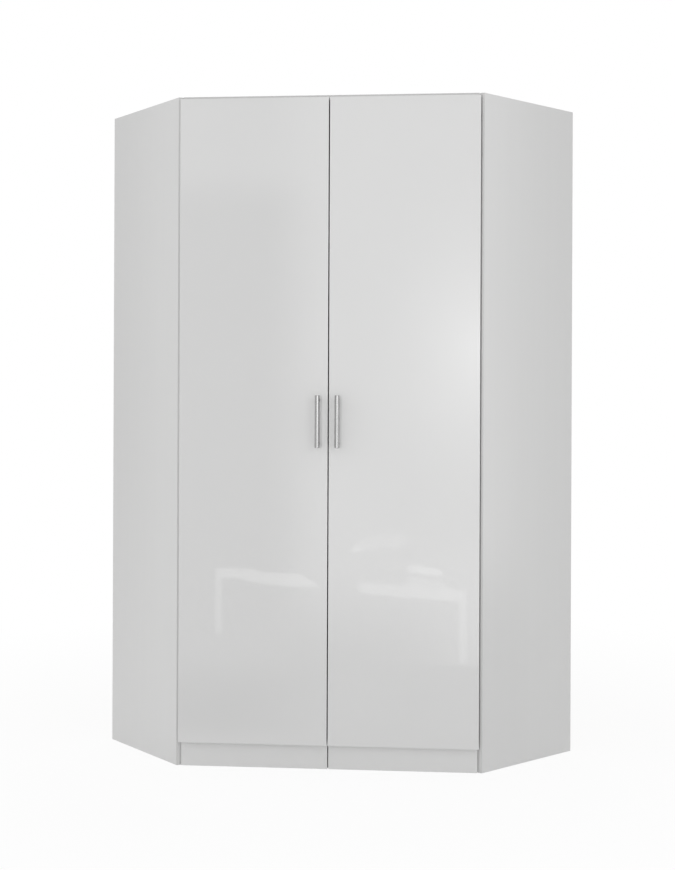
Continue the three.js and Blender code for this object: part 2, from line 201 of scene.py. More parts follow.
def hardboard_brown():
    """Raw fibre face of the back sheets, with broad darker patches."""
    material, shader = plain_material("hardboard_brown", color=(0.33, 0.21, 0.125), roughness=0.78)
    fibre = noise(material, scale=260.0, detail=6.0, roughness=0.7)
    cloud = noise(material, scale=5.0, detail=3.0, stretch=(1.0, 1.0, 0.5))
    color = ramp_between(
        material, fibre, low=(0.25, 0.155, 0.09), high=(0.40, 0.265, 0.165), start=0.25, end=0.75,
    )
    patches = ramp_between(
        material, cloud, low=(0.86, 0.86, 0.86), high=(1.0, 1.0, 1.0), start=0.0, end=1.0,
    )
    mix = add_node(material, "ShaderNodeMix", data_type="RGBA", blend_type="MULTIPLY")
    mix.inputs["Factor"].default_value = 1.0
    connect(material, color, mix.inputs["A"])
    connect(material, patches, mix.inputs["B"])
    connect(material, mix.outputs["Result"], shader.inputs["Base Color"])
    bump(material, shader, fibre, strength=0.35, depth=0.0004)
    return material


def planed_softwood():
    """Pale softwood battens, grain upright."""
    material, shader = plain_material("planed_softwood", color=(0.62, 0.47, 0.29), roughness=0.6)
    rings = noise(material, scale=60.0, detail=4.0, stretch=(1.0, 1.0, 0.04), roughness=0.6)
    colour_between(
        material, shader, rings, low=(0.52, 0.36, 0.20), high=(0.70, 0.55, 0.36), start=0.35, end=0.65,
    )
    bump(material, shader, rings, strength=0.2, depth=0.0004)
    return material


def moulded_plastic():
    """White moulded fittings with a fine texture."""
    material, shader = plain_material("moulded_plastic", color=(0.74, 0.74, 0.73), roughness=0.42)
    grain = noise(material, scale=1400.0, detail=2.0)
    colour_between(material, shader, grain, low=(0.73, 0.73, 0.72), high=(0.75, 0.75, 0.74))
    bump(material, shader, grain, strength=0.1, depth=0.0001)
    return material


def clear_rubber():
    """Milky soft pads between the doors and the carcass."""
    material, shader = plain_material("clear_rubber", color=(0.72, 0.73, 0.72), roughness=0.35)
    cloud = noise(material, scale=300.0, detail=2.0)
    colour_between(material, shader, cloud, low=(0.68, 0.69, 0.68), high=(0.75, 0.76, 0.75))
    shader.inputs["Subsurface Weight"].default_value = 0.15
    shader.inputs["Subsurface Radius"].default_value = (0.002, 0.002, 0.002)
    return material


def nickel_plate():
    """Bright plated steel of the hinges and screws, with a fine pressed surface."""
    material, shader = plain_material(
        "nickel_plate", color=(0.60, 0.60, 0.60), roughness=0.25, metallic=1.0,
    )
    pores = noise(material, scale=1800.0, detail=3.0)
    colour_between(material, shader, pores, low=(0.58, 0.58, 0.58), high=(0.62, 0.62, 0.615))
    roughness_between(material, shader, pores, low=0.23, high=0.27)
    bump(material, shader, pores, strength=0.04, depth=0.0001)
    return material


def drawn_tube():
    """Bright tube of the clothes rail, with the fine lines of its drawing along it."""
    material, shader = plain_material(
        "drawn_tube", color=(0.62, 0.62, 0.62), roughness=0.16, metallic=1.0,
    )
    lines = noise(material, scale=1400.0, detail=3.0, stretch=(0.01, 1.0, 1.0))
    colour_between(material, shader, lines, low=(0.60, 0.60, 0.60), high=(0.64, 0.64, 0.635))
    roughness_between(material, shader, lines, low=0.14, high=0.19)
    bump(material, shader, lines, strength=0.04, depth=0.0001)
    return material


def brushed_handle():
    """Satin metal of the handles, brushed along the bars."""
    material, shader = plain_material(
        "brushed_handle", color=(0.36, 0.36, 0.36), roughness=0.22, metallic=1.0,
    )
    brush = noise(material, scale=1500.0, detail=3.0, stretch=(1.0, 1.0, 0.015))
    colour_between(material, shader, brush, low=(0.33, 0.33, 0.33), high=(0.39, 0.39, 0.39))
    roughness_between(material, shader, brush, low=0.18, high=0.26)
    bump(material, shader, brush, strength=0.08, depth=0.0001)
    return material


MATERIALS = {
    "upright_board": melamine("melamine_upright", stretch=(1.0, 1.0, 0.02)),
    "lying_board": melamine("melamine_lying", stretch=(0.02, 1.0, 1.0)),
    "edge": edge_band_painted_shade(),
    "gloss": gloss_front(),
    "painted_highlight_edge": painted_highlight_edge(),
    "sheet_white": hardboard_white(),
    "sheet_brown": hardboard_brown(),
    "softwood": planed_softwood(),
    "plastic": moulded_plastic(),
    "pad": clear_rubber(),
    "steel": nickel_plate(),
    "tube": drawn_tube(),
    "handle": brushed_handle(),
}


# Materials on the CAD nodes

# Shares of a face's normal along an axis. Above the facing share the face looks along that axis,
# between the slanted and the straight share it is a bevel, and above the last it is a door's flat.
SLANTED_SHARE = 0.1
FACING_SHARE = 0.5
STRAIGHT_SHARE = 0.9
FLAT_FRONT_SHARE = 0.98
# Soft arrises
BOARD_EASE = 0.0005
DOOR_EASE = 0.0008
EASE_SEGMENTS = 2
EASE_ANGLE = math.radians(40.0)
# Smooth shading
WELD_DISTANCE = 0.00001
SMOOTH_ANGLE = math.radians(35.0)
ROUND_NODES = ("handle_", "hinge_", "shelf_peg", "clothes_rail", "rail_bracket")


def dress(name, main, *others):
    """Gives a node its main material, and each other one where its test says so of a face's normal."""
    mesh = nodes[name].data
    mesh.materials.clear()
    for material in (main, *(other for other, test in others)):
        mesh.materials.append(MATERIALS[material])
    for face in mesh.polygons:
        for index, (other, test) in enumerate(others, 1):
            if test(face.normal):
                face.material_index = index


def side_normal(side):
    """Outward normal of a side panel."""
    return Vector((OUTWARD[side] * DIAGONAL, -DIAGONAL, 0.0))


def wall_normal(side):
    """Outward normal of the back along one wall, which is also the way back along the side panel."""
    return Vector((OUTWARD[side] * DIAGONAL, DIAGONAL, 0.0))


def weld(obj):
    obj.modifiers.new("weld", "WELD").merge_threshold = WELD_DISTANCE


def split_sharp_edges(obj):
    obj.modifiers.new("edges", "EDGE_SPLIT").split_angle = SMOOTH_ANGLE


def eased(name, width):
    """Breaks a node's sharp arrises, as sanding or banding does."""
    obj = nodes[name]
    weld(obj)
    bevel = obj.modifiers.new("bevel", "BEVEL")
    bevel.width = width
    bevel.segments = EASE_SEGMENTS
    bevel.limit_method = "ANGLE"
    bevel.angle_limit = EASE_ANGLE


def dress_side(side):
    """The side panel, half of the plinth, and the back along one wall."""
    outward = side_normal(side)
    backward = wall_normal(side)

    def is_bevel(normal):
        return SLANTED_SHARE < abs(normal.dot(outward)) < STRAIGHT_SHARE

    def is_plinth_edge(normal):
        return abs(normal.y) < FACING_SHARE

    def is_raw_side(normal):
        return normal.dot(backward) > -FACING_SHARE

    dress(f"side_panel_{side}", "upright_board", ("edge", is_bevel))
    dress(f"plinth_{side}", "lying_board", ("edge", is_plinth_edge))
    eased(f"plinth_{side}", BOARD_EASE)
    for part in ("inner", "outer"):
        dress(f"back_sheet_{side}_{part}", "sheet_white", ("sheet_brown", is_raw_side))
    dress(f"back_joint_strip_{side}", "plastic")
    for place in (1, 2):
        dress(f"shelf_peg_{side}_{place}", "steel")


def dress_carcass():
    """The boards that run from side to side, both sides, and the fittings between them."""
    def is_board_edge(normal):
        return abs(normal.z) < FACING_SHARE

    for name in ("top_panel", "bottom_panel", "hat_shelf"):
        dress(name, "lying_board", ("edge", is_board_edge))
        eased(name, BOARD_EASE)
    for side in SIDES:
        dress_side(side)
    dress("plinth_foot", "plastic")
    dress("rear_corner_post", "softwood")
    dress("shelf_rear_cleat", "softwood")
    dress("clothes_rail", "tube")
    for place in ("left", "middle", "right"):
        dress(f"rail_bracket_{place}", "plastic")


def dress_doors():
    """The doors, and the handles and hinges on them."""
    def is_back(normal):
        return normal.y > FACING_SHARE

    def is_rounded(normal):
        return -FLAT_FRONT_SHARE < normal.y < -SLANTED_SHARE

    for side in SIDES:
        dress(f"door_{side}", "gloss", ("upright_board", is_back), ("painted_highlight_edge", is_rounded))
        eased(f"door_{side}", DOOR_EASE)
        dress(f"handle_bar_{side}", "handle")
        for place in ("lower", "upper"):
            dress(f"handle_post_{side}_{place}", "handle")
            dress(f"handle_screw_{side}_{place}", "steel")
        for place in HINGES:
            for part in ("cup", "arm", "plate"):
                dress(f"hinge_{part}_{side}_{place}", "steel")


def smooth_round_nodes():
    """Shades the turned and tubular nodes smooth, with their sharp edges kept."""
    for name, obj in nodes.items():
        if name.startswith(ROUND_NODES):
            weld(obj)
            for face in obj.data.polygons:
                face.use_smooth = True
            split_sharp_edges(obj)


# Small fittings

ROUND_STEPS = 24


def turn_to(direction):
    """Turn that takes +Z to a direction."""
    return UP.rotation_difference(Vector(direction)).to_matrix().to_4x4()


def piece_from(name, mesh_builder, place, direction, body, material):
    """Builds a mesh about its own Z, turns Z to the direction and lets it ride on a body."""
    shape = bmesh.new()
    mesh_builder(shape)
    bmesh.ops.recalc_face_normals(shape, faces=shape.faces)
    mesh = bpy.data.meshes.new(name)
    shape.to_mesh(mesh)
    shape.free()
    for face in mesh.polygons:
        face.use_smooth = True
    obj = linked(name, mesh)
    obj.matrix_world = Matrix.Translation(Vector(place)) @ turn_to(direction)
    split_sharp_edges(obj)
    obj.data.materials.append(MATERIALS[material])
    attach(obj, body)
    return obj


def ring(shape, radius, height, steps):
    """Points round a circle about Z."""
    turn = 2.0 * math.pi / steps
    return [
        shape.verts.new((radius * math.cos(i * turn), radius * math.sin(i * turn), height))
        for i in range(steps)
    ]


def bridge(shape, lower, upper):
    """Faces between two loops with as many points each."""
    count = len(lower)
    for i in range(count):
        j = (i + 1) % count
        shape.faces.new((lower[i], lower[j], upper[j], upper[i]))


def rings_of(shape, profile, steps):
    """Rings of a turned side through (radius, height) points, with a flat disc at its start."""
    rings = [ring(shape, radius, height, steps) for radius, height in profile]
    shape.faces.new(rings[0])
    for lower, upper in zip(rings, rings[1:]):
        bridge(shape, lower, upper)
    return rings


def turned(profile, steps=ROUND_STEPS):
    """Closed turned shape with a flat disc at each end."""
    def build(shape):
        rings = rings_of(shape, profile, steps)
        shape.faces.new(rings[-1])
    return build


def profile_of(shares, radius, height):
    """Turned profile from points given as shares of the radius and of the height."""
    return [(across * radius, up * height) for across, up in shares]


# A cross head: its profile, and its recess as shares of the head's radius and height
HEAD_SHARES = ((1.0, 0.0), (1.0, 0.35), (0.9, 0.75), (0.66, 1.0))
CROSS_REACH_SHARE = 0.50
CROSS_HALF_WIDTH_SHARE = 0.11
CROSS_DEPTH_SHARE = 0.55
CROSS_FLOOR_SHARE = 0.8


def cross_outline(reach, half):
    """Corners of a cross, by the reach of its arms and half their width."""
    return [
        (reach, -half), (reach, half), (half, half), (half, reach), (-half, reach), (-half, half),
        (-reach, half), (-reach, -half), (-half, -half), (-half, -reach), (half, -reach), (half, -half),
    ]


def loop_edges(shape, loop):
    """Edges round a loop of points, made where there are none yet."""
    pairs = zip(loop, loop[1:] + loop[:1])
    return [shape.edges.get(pair) or shape.edges.new(pair) for pair in pairs]


def cross_head(radius, height):
    """Domed screw head with a cross recess sunk in its crown."""
    reach = CROSS_REACH_SHARE * radius
    half = CROSS_HALF_WIDTH_SHARE * radius
    sink = CROSS_DEPTH_SHARE * height

    def build(shape):
        rings = rings_of(shape, profile_of(HEAD_SHARES, radius, height), ROUND_STEPS)
        brim = [shape.verts.new((x, y, height)) for x, y in cross_outline(reach, half)]
        sunk_outline = cross_outline(CROSS_FLOOR_SHARE * reach, half)
        floor = [shape.verts.new((x, y, height - sink)) for x, y in sunk_outline]
        edges = loop_edges(shape, rings[-1]) + loop_edges(shape, brim)
        bmesh.ops.triangle_fill(shape, use_beauty=True, use_dissolve=False, edges=edges)
        bridge(shape, brim, floor)
        shape.faces.new(floor)
    return build


# Heads as radius and height, and where the screws of a hinge sit
SCREW_HEAD = (0.0038, 0.0016)
SMALL_SCREW_HEAD = (0.0030, 0.0013)
FLANGE_SCREW_RISE = 0.024
WING_SCREW_RISE = 0.016
PLATE_SETBACK = 0.041
WING_THICKNESS = 0.0025
ARM_FACE = 0.0107
ARM_SCREWS = {"front": 0.012, "rear": 0.034}
SEAT_GAP = 0.0003
RISES = {"upper": 1.0, "lower": -1.0}


def steel_screw(name, head, place, direction, body):
    piece_from(name, cross_head(*head), place, direction, body, "steel")


def panel_points(side):
    """Corners of a side panel, as places in the scene."""
    panel = nodes[f"side_panel_{side}"]
    return [panel.matrix_world @ vert.co for vert in panel.data.vertices]


def panel_tip(side):
    """Innermost point of a side panel's front end, where its inner face begins."""
    tip = min(panel_points(side), key=lambda point: point.x * OUTWARD[side])
    return Vector((tip.x, tip.y, 0.0))


def hinge_screws():
    """Screws in the cup flanges, the plate wings and along the arms."""
    for side in SIDES:
        inward = -side_normal(side)
        backward = wall_normal(side)
        start = panel_tip(side)
        for place in HINGES:
            hinge = f"{side}_{place}"
            cup_low, cup_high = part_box(f"hinge_cup_{hinge}")
            centre = (cup_low + cup_high) / 2.0
            base = start + UP * centre.z + backward * PLATE_SETBACK
            for word, sign in RISES.items():
                spot = (centre.x, cup_high.y, centre.z + sign * FLANGE_SCREW_RISE)
                steel_screw(f"cup_screw_{hinge}_{word}", SMALL_SCREW_HEAD, spot, (0, 1, 0), f"{side}_door")
            for word, sign in RISES.items():
                spot = base + inward * (SEAT_GAP + WING_THICKNESS) + UP * (sign * WING_SCREW_RISE)
                steel_screw(f"plate_screw_{hinge}_{word}", SCREW_HEAD, spot, inward, "carcass")
            for word, reach in ARM_SCREWS.items():
                spot = base + inward * ARM_FACE + backward * (reach - ARM_SCREWS["rear"])
                steel_screw(f"arm_screw_{hinge}_{word}", SMALL_SCREW_HEAD, spot, inward, "carcass")


HANDLE_SCREW_HEAD = 0.0024
HANDLE_SCREW_SHANK = 0.002


def crossed_screw(radius, length):
    """Cross head with a plain shank behind it."""
    def build(shape):
        cross_head(radius, HANDLE_SCREW_HEAD)(shape)
        turned([(HANDLE_SCREW_SHANK, -length), (HANDLE_SCREW_SHANK, 0.0)])(shape)
    return build


def handle_screws():
    """Crossed screws that hold the handles, from the back of the doors."""
    for side in SIDES:
        for place in ("lower", "upper"):
            node = f"handle_screw_{side}_{place}"
            low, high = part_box(node)
            centre = (low + high) / 2.0
            radius = (high.x - low.x) / 2.0
            length = high.y - low.y - HANDLE_SCREW_HEAD
            screw = piece_from(
                f"crossed_{node}", crossed_screw(radius, length),
                (centre.x, high.y - HANDLE_SCREW_HEAD, centre.z),
                (0, 1, 0), f"{side}_door", "steel",
            )
            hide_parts(node)


BRACKET_PLATE = 0.003
BRACKET_SCREWS = {"front": -0.017, "rear": 0.017}


def bracket_screws():
    """Screws up through the plates of the rail brackets."""
    for place in ("left", "middle", "right"):
        low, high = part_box(f"rail_bracket_{place}")
        centre = (low + high) / 2.0
        for word, reach in BRACKET_SCREWS.items():
            spot = (centre.x, centre.y + reach, high.z - BRACKET_PLATE)
            steel_screw(f"bracket_screw_{place}_{word}", SMALL_SCREW_HEAD, spot, (0, 0, -1), "carcass")


PAD_RADIUS = 0.0045
PAD_HEIGHT = 0.0024
PAD_SHARES = ((1.0, 0.0), (1.0, 0.4), (0.75, 0.85), (0.35, 1.0))
PAD_FROM_EDGE = 0.030
PAD_FROM_END = 0.005
PAD_PLACES = {"lower": DOOR_LOW + PAD_FROM_END, "upper": DOOR_HIGH - PAD_FROM_END}


def door_pads():
    """Soft pads on the back of each door, where its free corners meet the carcass."""
    profile = profile_of(PAD_SHARES, PAD_RADIUS, PAD_HEIGHT)
    for side in SIDES:
        for word, height in PAD_PLACES.items():
            spot = (OUTWARD[side] * PAD_FROM_EDGE, DOOR_BACK, height)
            piece_from(
                f"door_pad_{side}_{word}", turned(profile), spot,
                (0, 1, 0), f"{side}_door", "pad",
            )


CAP_RADIUS = 0.0085
CAP_HEIGHT = 0.0012
CAP_SHARES = ((1.0, 0.0), (1.0, 0.4), (0.9, 1.0))
CAP_FROM_SIDE = 0.034
CAP_SETBACKS = (0.084, 0.304)


def cover_caps():
    """Caps over the cam fittings, under the top panel and the hat shelf along the side panels."""
    profile = profile_of(CAP_SHARES, CAP_RADIUS, CAP_HEIGHT)
    for side in SIDES:
        start = panel_tip(side) - side_normal(side) * CAP_FROM_SIDE
        for board in ("top_panel", "hat_shelf"):
            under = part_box(board)[0].z
            for place, setback in enumerate(CAP_SETBACKS, 1):
                spot = start + wall_normal(side) * setback + UP * under
                piece_from(
                    f"cover_cap_{board}_{side}_{place}", turned(profile), spot,
                    (0, 0, -1), "carcass", "plastic",
                )


NAIL_RADIUS = 0.0016
NAIL_HEIGHT = 0.0004
NAIL_STEPS = 10
NAIL_SPACING = 0.12
NAILED_BOARDS = ("bottom_panel", "hat_shelf", "top_panel")
SHEET_THICKNESS = 0.003


def nail_rows(face, outward, along, length, heights):
    """Rows of nail heads on a back sheet, spread evenly over its length at each height."""
    count = int(length / NAIL_SPACING)
    step = length / count

    def build(shape):
        for height in heights:
            for i in range(count):
                spot = Vector((face.x, face.y, height)) + along * ((i + 0.5 - count / 2.0) * step)
                start = len(shape.verts)
                turned([(NAIL_RADIUS, 0.0), (NAIL_RADIUS, NAIL_HEIGHT)], NAIL_STEPS)(shape)
                shape.verts.ensure_lookup_table()
                place = Matrix.Translation(spot) @ turn_to(outward)
                bmesh.ops.transform(shape, matrix=place, verts=shape.verts[start:])
    return build


def nail_heads():
    """Nails through the back sheets into the top, the bottom and the shelf, one piece for each sheet."""
    heights = [(low.z + high.z) / 2.0 for low, high in map(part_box, NAILED_BOARDS)]
    for side in SIDES:
        outward = wall_normal(side)
        along = -side_normal(side)
        for part in ("inner", "outer"):
            low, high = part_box(f"back_sheet_{side}_{part}")
            length = (high - low).xy.length - 2.0 * SHEET_THICKNESS
            face = (low + high) / 2.0 + outward * (SHEET_THICKNESS / 2.0)
            piece_from(
                f"back_nails_{side}_{part}", nail_rows(face, outward, along, length, heights),
                (0, 0, 0), (0, 0, 1), "carcass", "steel",
            )


# Studio

WHITE = (1.0, 1.0, 1.0, 1.0)
FLOOR_RADIUS = 14.0
FLOOR_STEPS = 64
FLOOR_WHITE_NEAR = 0.92
FLOOR_NEAR = 1.0
FLOOR_FAR = 2.4
WORLD_LIGHT = 0.75


def seen_rays(owner):
    """Value that is 1 for rays from the camera, off glossy surfaces and through clear ones."""
    rays = add_node(owner, "ShaderNodeLightPath")
    total = rays.outputs["Is Camera Ray"]
    for kind in ("Is Glossy Ray", "Is Transmission Ray"):
        both = add_node(owner, "ShaderNodeMath", operation="ADD", use_clamp=True)
        connect(owner, total, both.inputs[0])
        connect(owner, rays.outputs[kind], both.inputs[1])
        total = both.outputs["Value"]
    return total


def floor_material():
    """Pale floor that is seen nearly white, keeps the soft shadow and has no horizon."""
    material, shader = plain_material("studio_floor", color=(0.86, 0.86, 0.86), roughness=0.9)
    glow = add_node(material, "ShaderNodeEmission", {"Color": WHITE, "Strength": 1.0})
    place = add_node(material, "ShaderNodeTexCoord")
    distance = add_node(material, "ShaderNodeVectorMath", operation="LENGTH")
    white = add_node(
        material, "ShaderNodeMapRange",
        {"From Min": FLOOR_NEAR, "From Max": FLOOR_FAR, "To Min": FLOOR_WHITE_NEAR, "To Max": 1.0},
    )
    share = add_node(material, "ShaderNodeMath", operation="MULTIPLY")
    mix = add_node(material, "ShaderNodeMixShader")
    output = material.node_tree.nodes["Material Output"]
    connect(material, place.outputs["Object"], distance.inputs[0])
    connect(material, distance.outputs["Value"], white.inputs["Value"])
    connect(material, seen_rays(material), share.inputs[0])
    connect(material, white.outputs["Result"], share.inputs[1])
    connect(material, share.outputs["Value"], mix.inputs["Fac"])
    connect(material, shader.outputs["BSDF"], mix.inputs[1])
    connect(material, glow.outputs["Emission"], mix.inputs[2])
    connect(material, mix.outputs["Shader"], output.inputs["Surface"])
    return material


def studio_floor():
    mesh = bpy.data.meshes.new("studio_floor")
    shape = bmesh.new()
    bmesh.ops.create_circle(shape, cap_ends=True, segments=FLOOR_STEPS, radius=FLOOR_RADIUS)
    shape.to_mesh(mesh)
    shape.free()
    floor = linked("studio_floor", mesh)
    floor.data.materials.append(floor_material())


def studio_world():
    """Soft light from all sides, with white behind the object and in what it mirrors."""
    world = bpy.data.worlds.new("studio_world")
    bpy.context.scene.world = world
    world.use_nodes = True
    soft = world.node_tree.nodes["Background"]
    soft.inputs["Color"].default_value = WHITE
    soft.inputs["Strength"].default_value = WORLD_LIGHT
    white = add_node(world, "ShaderNodeBackground", {"Color": WHITE, "Strength": 1.0})
    mix = add_node(world, "ShaderNodeMixShader")
    connect(world, seen_rays(world), mix.inputs["Fac"])
    connect(world, soft.outputs["Background"], mix.inputs[1])
    connect(world, white.outputs["Background"], mix.inputs[2])
    connect(world, mix.outputs["Shader"], world.node_tree.nodes["World Output"].inputs["Surface"])


def area_light(name, place, aim, size, power):
    data = bpy.data.lights.new(name, "AREA")
    data.shape = "RECTANGLE"
    data.size, data.size_y = size
    data.energy = power
    lamp = linked(name, data)
    lamp.location = place
    lamp.rotation_euler = (Vector(aim) - Vector(place)).to_track_quat("-Z", "Y").to_euler()
    return lamp


# Each light: its place, its size and its power
LIGHT_AIM = (0.0, -0.3, 1.0)
LIGHTS = {
    "front_light": ((0.4, -5.5, 1.0), (2.0, 1.6), 20.3),
    "left_light": ((-3.6, -2.0, 2.2), (1.6, 2.4), 11.0),
    "right_light": ((2.3, -3.4, 2.0), (1.4, 2.0), 8.5),
    "rear_light": ((0.0, 4.5, 2.6), (3.0, 2.0), 18.0),
}


def studio_lights():
    """Soft lamps that are never seen or mirrored: the cards below are there for the gloss."""
    for name, (place, size, power) in LIGHTS.items():
        lamp = area_light(name, place, LIGHT_AIM, size, power)
        lamp.visible_camera = False
        lamp.visible_glossy = False


# Cards that nothing but a mirror image shows. Those in front of the doors are placed by the pixels at
# which the photograph shows them there, and each has its own depth.
GLOW_Y = -2.03
GLOW_PIXEL = (480.0, 350.0)
GLOW_REACH = 135.0
GLOW_LIGHT = 3.0
GLOW_STRETCH = 1.5
LOW_GLOW_PIXEL = (480.0, 640.0)
LOW_GLOW_REACH = 130.0
LOW_GLOW_LIGHT = 1.3
LOW_GLOW_STRETCH = 1.3
WINDOW_Y = -2.06
WINDOW_LIGHT = 1.6
WINDOW_PIXELS = ((262.0, -60.0), (540.0, 670.0))
WINDOW_LEFT_FADE = 72.0
WINDOW_LOW_FADE = 110.0
BAND_Y = -2.09
BAND_LIGHT = 0.95
BAND_PIXELS = ((100.0, -60.0), (334.0, 212.0))
BAND_SIDE_FADE = 72.0
BAND_LOW_FADE = 50.0
BENCH_Y = -2.0
# Each shape of the bench, and of the throw that lies on it: its light and its corners
BENCH_SHAPES = {
    "bench_top_left": (1.6, (
        (216, 568), (256, 569), (259, 572), (300, 574), (306, 578), (319, 586),
        (319, 588), (308, 587), (290, 587), (256, 583), (238, 578), (222, 578), (216, 580),
    )),
    "bench_leg_left": (1.1, ((215, 580), (222, 578), (222, 633), (215, 633))),
    "bench_top_right": (1.3, (
        (359, 582), (396, 585), (466, 591), (466, 601), (450, 601), (394, 597), (365, 594), (359, 590),
    )),
    "bench_leg_right": (0.95, ((459, 601), (467, 601), (467, 664), (459, 664))),
    "throw_left": (0.7, (
        (352, 551), (356, 543), (374, 535), (402, 534), (410, 540), (404, 546), (378, 548),
    )),
    "throw_hem": (2.0, ((352, 549), (360, 548), (360, 551), (352, 552))),
    "throw_right": (1.6, (
        (408, 566), (418, 565), (426, 568), (437, 568), (442, 573), (441, 577), (408, 572),
    )),
    "throw_fold": (0.8, ((404, 587), (409, 576), (441, 581), (452, 589))),
}
MAT_HEIGHT = 0.002
MAT_SHADE_SHARE = 0.75
MAT_PIXELS = ((178.0, 648.0), (352.0, 742.0))
MAT_SIDE_FADE = 120.0
MAT_FAR_FADE = 50.0
MAT_NEAR_FADE = 20.0
# Reflectors and flags beside the side panels: the side, the distance, how much light a reflector adds
# or a flag takes, and the pixels of the panel, across and down, between which it fades in. Each runs on
# for a length past the place where it has faded in, and stands on the floor.
SIDE_CARD_RUN = 0.18
SIDE_CARD_TOP = 2.8
SIDE_REFLECTORS = {
    "reflector_left": ("left", 0.17, 0.42, (148.0, 178.0), (900.0, 870.0)),
    "reflector_right": ("right", 0.17, 0.9, (515.0, 482.0), (595.0, 530.0)),
}
SIDE_FLAGS = {
    "flag_left": ("left", 0.15, 0.75, (172.0, 128.0), (720.0, 350.0)),
    "flag_right": ("right", 0.15, 0.5, (510.0, 572.0), (900.0, 870.0)),
    "low_flag_right": ("right", 0.13, 0.5, (545.0, 505.0), (560.0, 660.0)),
}


def mirrored_ray(pixel, camera, point, normal):
    """Where the ray through a pixel meets a flat face, and its way on once the face turns it back."""
    basis = camera.matrix_world.to_3x3()
    across = (pixel[0] - PRINCIPAL_PIXEL[0]) / FOCAL_PIXELS
    down = (pixel[1] - PRINCIPAL_PIXEL[1]) / FOCAL_PIXELS
    ray = basis @ Vector((across, -down, -1.0))
    start = camera.matrix_world.translation
    met = start + ray * ((point - start).dot(normal) / ray.dot(normal))
    return met, ray.reflect(normal)


def mirrored(pixel, camera, depth):
    """Where the ray through a pixel meets the plane y = depth, once the doors turn it back."""
    on_door, back = mirrored_ray(pixel, camera, *DOOR_FACE)
    return on_door + back * ((depth - on_door.y) / back.y)


def mirrored_low(pixel, camera, height):
    """Where that ray comes down to a height over the floor."""
    on_door, back = mirrored_ray(pixel, camera, *DOOR_FACE)
    return on_door + back * ((height - on_door.z) / back.z)


def mirrored_beside(pixel, camera, side, gap):
    """Where the ray through a pixel is a gap away from the side panel, once the panel turns it back."""
    normal = side_normal(side)
    outermost = max(panel_points(side), key=lambda point: point.dot(normal))
    on_panel, back = mirrored_ray(pixel, camera, outermost, normal)
    return on_panel + back * (gap / back.dot(normal))


def card(name, corners, material):
    """Flat shape that is left out of everything but reflections."""
    mesh = bpy.data.meshes.new(name)
    mesh.from_pydata([tuple(corner) for corner in corners], [], [tuple(range(len(corners)))])
    mesh.materials.append(material)
    obj = linked(name, mesh)
    obj.visible_camera = False
    obj.visible_diffuse = False
    obj.visible_transmission = False
    obj.visible_volume_scatter = False
    obj.visible_shadow = False
    return obj


def bare_material(name):
    """Material with no nodes in it yet."""
    material = bpy.data.materials.new(name)
    material.use_nodes = True
    material.node_tree.nodes.clear()
    return material


def adding_glow(name, strength):
    """Material that adds an even glow to what is seen through it, and the node that glows."""
    material = bare_material(name)
    glow = add_node(material, "ShaderNodeEmission", {"Color": WHITE, "Strength": strength})
    clear = add_node(material, "ShaderNodeBsdfTransparent")
    both = add_node(material, "ShaderNodeAddShader")
    output = add_node(material, "ShaderNodeOutputMaterial")
    connect(material, glow.outputs["Emission"], both.inputs[0])
    connect(material, clear.outputs["BSDF"], both.inputs[1])
    connect(material, both.outputs["Shader"], output.inputs["Surface"])
    return material, glow


def scaled(material, value, factor):
    """A value times a factor."""
    level = add_node(material, "ShaderNodeMath", operation="MULTIPLY")
    level.inputs[1].default_value = factor
    connect(material, value, level.inputs[0])
    return level.outputs["Value"]


def round_glow(name, strength, radius):
    """Glow that fades from the object's origin to nothing at the radius."""
    material, glow = adding_glow(name, strength)
    place = add_node(material, "ShaderNodeTexCoord")
    scale = add_node(material, "ShaderNodeMapping", {"Scale": (1.0 / radius,) * 3})
    fade = add_node(material, "ShaderNodeTexGradient", gradient_type="QUADRATIC_SPHERE")
    connect(material, place.outputs["Object"], scale.inputs["Vector"])
    connect(material, scale.outputs["Vector"], fade.inputs["Vector"])
    connect(material, scaled(material, fade.outputs["Fac"], strength), glow.inputs["Strength"])
    return material


def fade_to(material, target, strength, fades):
    """Feeds a socket with a strength that fades. A fade is an axis, where it is 0 and where it is 1."""
    place = add_node(material, "ShaderNodeTexCoord")
    split = add_node(material, "ShaderNodeSeparateXYZ")
    connect(material, place.outputs["Object"], split.inputs["Vector"])
    for axis, nothing, full in fades:
        fade = add_node(
            material, "ShaderNodeMapRange", {"From Min": nothing, "From Max": full},
            interpolation_type="SMOOTHSTEP",
        )
        level = add_node(material, "ShaderNodeMath", operation="MULTIPLY")
        level.inputs[0].default_value = strength
        connect(material, split.outputs[axis], fade.inputs["Value"])
        connect(material, fade.outputs["Result"], level.inputs[1])
        connect(material, level.outputs["Value"], target)
        target = level.inputs[0]


def soft_edged_glow(name, strength, fades):
    """Even glow that fades to nothing along its axes."""
    material, glow = adding_glow(name, strength)
    fade_to(material, glow.inputs["Strength"], strength, fades)
    return material


def soft_edged_shade(name, share, fades):
    """Clear material that takes a share of the light that is seen through it, less where it fades."""
    material = bare_material(name)
    clear = add_node(material, "ShaderNodeBsdfTransparent")
    left = add_node(material, "ShaderNodeMath", operation="SUBTRACT")
    left.inputs[0].default_value = 1.0
    output = add_node(material, "ShaderNodeOutputMaterial")
    fade_to(material, left.inputs[1], share, fades)
    connect(material, left.outputs["Value"], clear.inputs["Color"])
    connect(material, clear.outputs["BSDF"], output.inputs["Surface"])
    return material


def mirrored_span(pixels, camera, depth):
    """Left, right, low and high ends of the upright rectangle between two mirrored pixels."""
    start, end = (mirrored(pixel, camera, depth) for pixel in pixels)
    return (*sorted((start.x, end.x)), *sorted((start.z, end.z)))


